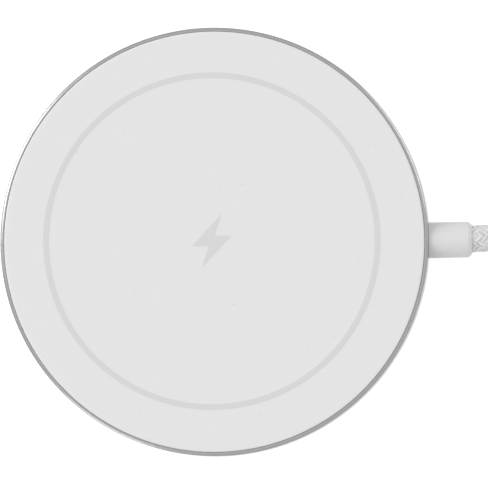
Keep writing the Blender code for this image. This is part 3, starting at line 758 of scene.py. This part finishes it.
def cord_line():
    """The whole cord's centre line, from just inside the strain relief to the plug."""
    lead, tail = cord_knots()
    step = 0.0003
    start = Vector((RELIEF_END - 0.0008, 0.0001, CORD_LEVEL))
    return np.array([start] + smooth_route(lead, step) + coil_points(step) + smooth_route(tail, step))


def resampled(line, stops):
    """Points on a line at given lengths along it."""
    lengths = np.concatenate(([0.0], np.cumsum(np.linalg.norm(np.diff(line, axis=0), axis=1))))
    return np.stack([np.interp(stops, lengths, line[:, axis]) for axis in range(3)], axis=1)


def line_length(line):
    return float(np.linalg.norm(np.diff(line, axis=0), axis=1).sum())


def frames_along(line):
    """A pair of unit vectors square to the line at each point, carried along it without twist."""
    tangents = np.gradient(line, axis=0)
    tangents /= np.linalg.norm(tangents, axis=1)[:, None]
    side = np.array([0.0, 1.0, 0.0])
    sides, ups = [], []
    for tangent in tangents:
        side = side - tangent * side.dot(tangent)
        side /= np.linalg.norm(side)
        sides.append(side)
        ups.append(np.cross(tangent, side))
    return np.array(sides), np.array(ups)


def braid_height(along, around):
    """How high the braid stands, 0 to 1, at a point measured in strands."""
    first, second = along + around, along - around
    difference = np.floor(first) - np.floor(second)
    second_up = (difference % 4) > 1.5
    chosen = np.where(second_up, second, first)
    other = np.where(second_up, first, second)
    strand = np.floor(chosen)
    reach = np.where(second_up, other - strand - 2, other - strand + 1) % 4 / 2
    crown = np.sin(np.pi * (chosen - strand)) ** 0.6
    return crown * (0.45 + 0.55 * np.sin(np.pi * reach))


def ring_points(line, sides, stops, relief):
    """Rings of points round the line; the relief is how deep the braid's valleys are."""
    across, up = frames_along(line)
    turn = np.arange(sides) / sides
    height = braid_height(stops[:, None] / STRAND_STEP, turn[None, :] * STRANDS)
    radius = CORD_RADIUS - relief * (1 - height)
    cosine, sine = np.cos(turn * math.tau), np.sin(turn * math.tau)
    return (
        line[:, None, :]
        + across[:, None, :] * (radius * cosine)[:, :, None]
        + up[:, None, :] * (radius * sine)[:, :, None]
    )


def add_band(faces, uvs, low, high, sides, marks):
    """Faces between two rings of as many points, with their places in the braid.

    The marks are how far along the cord the two rings are, in strands.
    """
    start, end = marks
    for i in range(sides):
        j = (i + 1) % sides
        left, right = STRANDS * i / sides, STRANDS * (i + 1) / sides
        faces.append((low + i, low + j, high + j, high + i))
        uvs.append([(start, left), (start, right), (end, right), (end, left)])


def add_thinning(faces, uvs, low, high, marks):
    """Faces between a fine ring and a plain one that has a third of its points."""
    start, end = marks
    share = FINE_SIDES // PLAIN_SIDES
    for i in range(PLAIN_SIDES):
        fine = [low + (share * i + k) % FINE_SIDES for k in range(share + 1)]
        plain = (high + i, high + (i + 1) % PLAIN_SIDES)
        across = [STRANDS * (share * i + k) / FINE_SIDES for k in range(share + 1)]
        left, right = across[0], across[-1]
        for k in range(share - 1):
            faces.append((fine[k], fine[k + 1], plain[0]))
            uvs.append([(start, across[k]), (start, across[k + 1]), (end, left)])
        faces.append((fine[-2], fine[-1], plain[1], plain[0]))
        uvs.append([(start, across[-2]), (start, right), (end, right), (end, left)])


def cord_mesh(line, stops, fine):
    """A braided tube whose first rings, as many as fine says, are finely modelled and the rest plain."""
    detailed = ring_points(line, FINE_SIDES, stops, BRAID_DEPTH)[:fine]
    plain = ring_points(line, PLAIN_SIDES, stops, 0.0)[fine:]
    plain = plain - (plain - line[fine:, None, :]) * (BRAID_DEPTH * 0.3 / CORD_RADIUS)
    points = np.concatenate([detailed.reshape(-1, 3), plain.reshape(-1, 3)])
    marks = stops / STRAND_STEP
    base = fine * FINE_SIDES
    faces, uvs = [], []
    for i in range(fine - 1):
        add_band(faces, uvs, i * FINE_SIDES, (i + 1) * FINE_SIDES, FINE_SIDES, marks[i : i + 2])
    add_thinning(faces, uvs, base - FINE_SIDES, base, marks[fine - 1 : fine + 1])
    for i in range(len(plain) - 1):
        low = base + i * PLAIN_SIDES
        add_band(faces, uvs, low, low + PLAIN_SIDES, PLAIN_SIDES, marks[fine + i : fine + i + 2])
    for cap in (tuple(reversed(range(FINE_SIDES))), tuple(range(len(points) - PLAIN_SIDES, len(points)))):
        faces.append(cap)
        uvs.append([(0.0, 0.0)] * len(cap))
    mesh = mesh_from("cord", points, faces)
    layer = mesh.uv_layers.new(name="Weave")
    flat = np.array([pair for face in uvs for pair in face], dtype=np.float32)
    layer.data.foreach_set("uv", flat.ravel())
    return mesh


def make_cord():
    """The braided cord as a piece, and the points of its centre line."""
    fine_step, plain_step = 0.00008, 0.00068
    line = cord_line()
    total = line_length(line)
    fine_stops = np.arange(0.0, FINE_LENGTH, fine_step)
    plain_count = round((total - FINE_LENGTH) / plain_step)
    stops = np.concatenate((fine_stops, np.linspace(FINE_LENGTH, total, plain_count)))
    centres = resampled(line, stops)
    mesh = cord_mesh(centres, stops, len(fine_stops))
    nodes = ("cord_lead", "cord_coil", "cord_tail")
    return add_piece("cord", mesh, braid_look(), nodes, smooth_angle=60), centres


# ---------------------------------------------------------------- the pad


def make_rim():
    """The aluminium ring, with softened edges and the hole for the strain relief's neck."""
    top, under = RIM_HIGH.z, RIM_LOW.z
    shelf = PLATE_LOW.z - GAP
    cover_wall, cover_shelf = COVER_HIGH.x + GAP, COVER_TOP + GAP
    steps = 10
    edge = []
    for i in range(steps + 1):
        x, z = on_circle(RIM_ROUND, math.pi / 2 * i / steps)
        edge.append(((RIM_RADIUS - RIM_ROUND + x, top - RIM_ROUND + z), 0))
    corners = edge + [
        ((RIM_FACE_INNER, top), 0.00002),
        ((RIM_FACE_INNER, shelf), 0),
        ((RIM_WALL_INNER, shelf), 0),
        ((RIM_WALL_INNER, cover_shelf), 0),
        ((cover_wall, cover_shelf), 0),
        ((cover_wall, under), 0.00005),
        ((RIM_RADIUS - 0.0003, under), 0.00005),
        ((RIM_RADIUS, under + 0.0004), 0.0001),
    ]
    mesh = turned("rim", softened(*zip(*corners), closed=True), TURNED_STEPS, closed=True)
    hole, start, end = RELIEF_NECK + 0.00025, RIM_RADIUS - 0.003, RIM_RADIUS + 0.003
    drill = turned("rim_drill", [(0, start), (hole, start), (hole, end), (0, end)], 48, closed=False)
    mesh = cut(mesh, laid_along_x(drill, CORD_LEVEL))
    look = turned_metal("anodised_aluminium", (0.52, 0.52, 0.524), 0.26, 0.00005, 0.000006)
    add_piece("rim", mesh, look, ("rim_frame",), smooth_angle=30)


def make_top_plate():
    """The white plate, with a soft edge all round its face."""
    edge, under_edge = 0.00022, 0.00005
    corners = [
        ((0, PLATE_LOW.z), 0),
        ((PLATE_RADIUS, PLATE_LOW.z), under_edge),
        ((PLATE_RADIUS, PAD_TOP), edge),
        ((PLATE_RADIUS - 3 * edge, PAD_TOP), 0),  # keeps the shading flat inside the soft edge
        ((0, PAD_TOP), 0),
    ]
    profile = softened(*zip(*corners), closed=False, steps=6)
    mesh = turned("charging_plate", profile, TURNED_STEPS, closed=False)
    add_piece("charging_plate", mesh, soft_touch_look(), ("top_plate",))


def make_prints():
    """The pale ring on the plate and a plain lightning bolt in its middle, as thin films of ink."""
    ink = ink_look()
    low, high = PAD_TOP, PAD_TOP + 0.00002
    inner, outer = PRINT_RADIUS - PRINT_WIDTH / 2, PRINT_RADIUS + PRINT_WIDTH / 2
    section = [(inner, low), (outer, low), (outer, high), (inner, high)]
    ring = turned("printed_ring", section, TURNED_STEPS, closed=True)
    half = [(0.0014, 0.0037), (-0.0027, -0.0007), (-0.0004, -0.0007)]
    corners = half + [(-x, -y) for x, y in half]
    outline = softened(corners, [0.00025] * len(corners), closed=True, steps=3)
    bolt = skinned("printed_bolt", [[(x, y, z) for x, y in outline] for z in (low, high)])
    for mesh in (ring, bolt):
        moved(mesh, lambda point: point + PRINT_MIDDLE)
        add_piece(mesh.name, mesh, ink)


def make_strain_relief():
    """A moulded sleeve whose inner end follows the rim; a little crooked, as moulded sleeves are."""
    start = RIM_RADIUS + GAP / 10
    flange, inner_end = 0.0017, RELIEF_LOW.x
    mouth, mouth_depth = CORD_RADIUS + 0.00002, 0.0009
    corners = [
        ((RELIEF_BORE, inner_end), 0),
        ((flange, inner_end), 0),
        ((flange, inner_end + 0.00055), 0),
        ((RELIEF_NECK, inner_end + 0.0008), 0),
        ((RELIEF_NECK, start), 0),
        ((RELIEF_RADIUS, start), 0.00004),
        ((RELIEF_RADIUS, RELIEF_END - RELIEF_CHAMFER), 0.00012),
        ((RELIEF_RADIUS - RELIEF_CHAMFER, RELIEF_END), 0.00006),
        ((mouth, RELIEF_END), 0.00003),
        ((mouth, RELIEF_END - mouth_depth), 0),
        ((RELIEF_BORE, RELIEF_END - mouth_depth), 0),
    ]
    profile = softened(*zip(*corners), closed=True, steps=5)
    mesh = laid_along_x(turned("strain_relief_sleeve", profile, 96, closed=True), CORD_LEVEL)
    lean = math.tan(math.radians(0.6))
    fitted = 0.0020  # how far out the sleeve is bent to the rim's curve

    def seated(point):
        x, y, z = point
        outside = x > RIM_RADIUS and y * y + (z - CORD_LEVEL) ** 2 > RELIEF_NECK**2
        curve = RIM_RADIUS - math.sqrt(RIM_RADIUS**2 - y * y) if outside else 0.0
        fade = max(0.0, 1 - (x - start) / fitted)
        return x - curve * fade, y + max(0.0, x - start) * lean, z

    look = grained("relief_plastic", (0.78, 0.78, 0.78), 0.45, 0.00015, 0.000008, 0.015)
    mesh = moved(mesh, seated)
    return add_piece("strain_relief_sleeve", mesh, look, ("strain_relief",))


def make_foot():
    """The ribbed silicone ring that is bonded into the cover's recess."""
    inner, outer, top = FOOT_INNER, FOOT_HIGH.x, FOOT_HIGH.z
    edge, margin = 0.0002, 0.0012
    ribs, groove = 12, 0.00012
    span = (outer - inner - 2 * margin) / ribs
    profile = [(inner, top), (inner, edge), (inner + edge, 0.0)]
    for i in range(ribs):
        start = inner + margin + i * span
        profile += [
            (start, 0.0),
            (start + 0.15 * span, groove),
            (start + 0.45 * span, groove),
            (start + 0.6 * span, 0.0),
        ]
    profile += [(outer - edge, 0.0), (outer, edge), (outer, top)]
    mesh = turned("silicone_foot", profile, 192, closed=True)
    look = grained("grey_silicone", (0.55, 0.55, 0.55), 0.7, 0.00025, 0.00001, 0.04)
    add_piece("silicone_foot", mesh, look, ("foot_pad",))


# ---------------------------------------------------------------- the tie and the plug


def strap_path(half_x, half_y, spacing, lap):
    """Points once round an oblong loop and on over the first of them, and how many once round takes."""
    loop = [Vector(spot) for spot in rounded_outline(half_x, half_y, TIE_CORNER, 8)]
    path = []
    for here, after in zip(loop, loop[1:] + loop[:1]):
        count = max(1, round((after - here).length / spacing))
        path += [here.lerp(after, k / count) for k in range(count)]
    return path + path[:lap], len(path)


def strap_loops(path, once_round):
    """The strap's cross-section at each point of its path; the lap lies on the start, its end rounded."""
    half_wide, half_thick = TIE_WIDTH / 2, TIE_THICKNESS / 2
    section = rounded_outline(half_thick, half_wide, half_thick * 0.8, 3)
    last = len(path) - 1
    ease = 5  # how many points the lap takes to climb, and its end to narrow
    loops = []
    for i, spot in enumerate(path):
        tangent = (path[min(last, i + 1)] - path[max(0, i - 1)]).normalized()
        outward = Vector((tangent.y, -tangent.x))
        lift = TIE_THICKNESS * 1.02 * min(1.0, max(0.0, (i - once_round + ease) / ease))
        narrowing = math.sqrt(min(1.0, (last - i) / ease + 0.35))
        wave = 0.00006 * math.sin(i * 0.55)  # its edges are never quite straight
        loop = []
        for away, along in section:
            point = spot + outward * (away + lift)
            loop.append((point.x, along * narrowing + wave, point.y))
        loops.append(loop)
    return loops


def make_tie():
    """A hook-and-loop strap wrapped once round the coil, its free end lapped over its start."""
    inside = SPOOL_INNER * math.cos(math.asin(TIE_WIDTH / 2 / SPOOL_INNER)) - CUT_GAP
    outside = SPOOL_OUTER + CUT_GAP
    half_x, half_y = (outside - inside) / 2, SPOOL_TOP / 2 + CUT_GAP
    middle = TIE_THICKNESS / 2
    path, once_round = strap_path(half_x + middle, half_y + middle, spacing=0.0006, lap=26)
    mesh = skinned("cord_strap", strap_loops(path, once_round))
    centre = Vector(((inside + outside) / 2, 0.0, half_y + TIE_THICKNESS))
    turn = Quaternion((0, 0, 1), TIE_ANGLE)
    moved(mesh, lambda point: turn @ (centre + Vector((point.x, -point.y, point.z))) + SPOOL_CENTRE)
    return add_piece("cord_strap", facing_out(mesh), loop_fabric_look(), ("cable_tie",))


def to_plug(mesh):
    """Moves a mesh made along +X from the cord's end to where the plug lies."""
    _, tail = cord_knots()
    towards = tail[-1] - tail[-3]
    turn = Quaternion((0, 0, 1), math.atan2(towards.y, towards.x))
    return moved(mesh, lambda point: turn @ point + tail[-2])


def make_plug_sleeve():
    """The plug's strain relief: five shallow ribs that let it bend, each a little wider than the last."""
    ribs, growth, groove, chamfer = 5, 0.0003, 0.00022, 0.0004
    start, end = 0.0012, SLEEVE_LENGTH - 0.0006
    pitch = (end - start) / ribs
    profile = [(0, CUT_GAP), (RELIEF_RADIUS - chamfer, CUT_GAP), (RELIEF_RADIUS, CUT_GAP + chamfer)]
    for i in range(ribs):
        low = start + pitch * i
        radius = RELIEF_RADIUS + growth * (i + 0.5) / ribs
        profile += [
            (radius, low),
            (radius - groove, low + 0.2 * pitch),
            (radius - groove, low + 0.4 * pitch),
            (radius, low + 0.6 * pitch),
        ]
    profile += [(RELIEF_RADIUS + growth, SLEEVE_LENGTH), (0, SLEEVE_LENGTH)]
    sizes = [0] + [0.00008] * (len(profile) - 2) + [0]
    mesh = turned("plug_relief", softened(profile, sizes, closed=False, steps=3), 64, closed=False)
    look = grained("plug_relief_plastic", (0.72, 0.72, 0.72), 0.48, 0.00015, 0.000008, 0.015)
    return add_piece("plug_relief", to_plug(laid_along_x(mesh)), look, ("plug_sleeve",))


def grip_outline(inset):
    corner = PLUG_CORNER - inset * 0.5
    return rounded_outline(PLUG_HALF_WIDTH - inset, PLUG_HALF_HEIGHT - inset, corner, 10)


def shell_outline(inset):
    half_height = SHELL_HEIGHT / 2 - inset
    return rounded_outline(SHELL_WIDTH / 2 - inset, half_height, half_height - 0.00001, 12)


def make_plug_grip():
    """The plug's grip: an oblong with rounded ends, a fine seam round it and a mouth for the shell."""
    seam = (HOUSING_START + HOUSING_END) / 2 + 0.0045
    places = [
        (0.00110, HOUSING_START),
        (0.00060, HOUSING_START + 0.00012),
        (0.00025, HOUSING_START + 0.0004),
        (0.00006, HOUSING_START + 0.0008),
        (0.0, HOUSING_START + 0.0013),
        (0.0, seam - 0.00012),
        (0.00010, seam - 0.00004),
        (0.00010, seam + 0.00004),
        (0.0, seam + 0.00012),
        (0.0, HOUSING_END - 0.0006),
        (0.00005, HOUSING_END - 0.0003),
        (0.00018, HOUSING_END - 0.0001),
        (0.00035, HOUSING_END),
    ]
    room = 0.0001
    mouth_x, mouth_y = SHELL_WIDTH / 2 + room, SHELL_HEIGHT / 2 + room
    opening = rounded_outline(mouth_x, mouth_y, mouth_y - room / 2, 12)
    mouth = [[(x, y, z) for y, z in opening] for x in (SHELL_START - 0.0002, HOUSING_END + 0.001)]
    mesh = cut(skinned("plug_grip", stations(places, grip_outline)), skinned("grip_mouth", mouth))
    look = grained("grip_plastic", (0.80, 0.80, 0.795), 0.38, 0.00018, 0.000008, 0.012)
    return add_piece("plug_grip", to_plug(mesh), look, ("plug_housing",), smooth_angle=35)


def make_plug_shell():
    """The drawn metal shell, its mouth rolled a little inwards."""
    inner = SHELL_WALL + 0.00005
    places = [
        (0.0, SHELL_START),
        (0.0, SHELL_END - 0.0004),
        (0.00004, SHELL_END - 0.0002),
        (0.00010, SHELL_END - 0.00006),
        (0.00016, SHELL_END),
        (inner, SHELL_END - 0.00005),
        (inner, SHELL_START),
    ]
    mesh = skinned("plug_metal_shell", stations(places, shell_outline), closed=True)
    look = turned_metal("plug_nickel", (0.62, 0.61, 0.59), 0.22, 0.00010, 0.000002)
    return add_piece("plug_metal_shell", to_plug(mesh), look, ("plug_shell",), smooth_angle=35)


def main():
    make_camera()
    cord, centres = make_cord()
    make_world()
    make_lights()
    make_floor()
    dress_cad_nodes()
    make_rim()
    make_top_plate()
    make_prints()
    relief = make_strain_relief()
    make_foot()
    strap = make_tie()
    plug = [make_plug_sleeve(), make_plug_grip(), make_plug_shell()]


main()
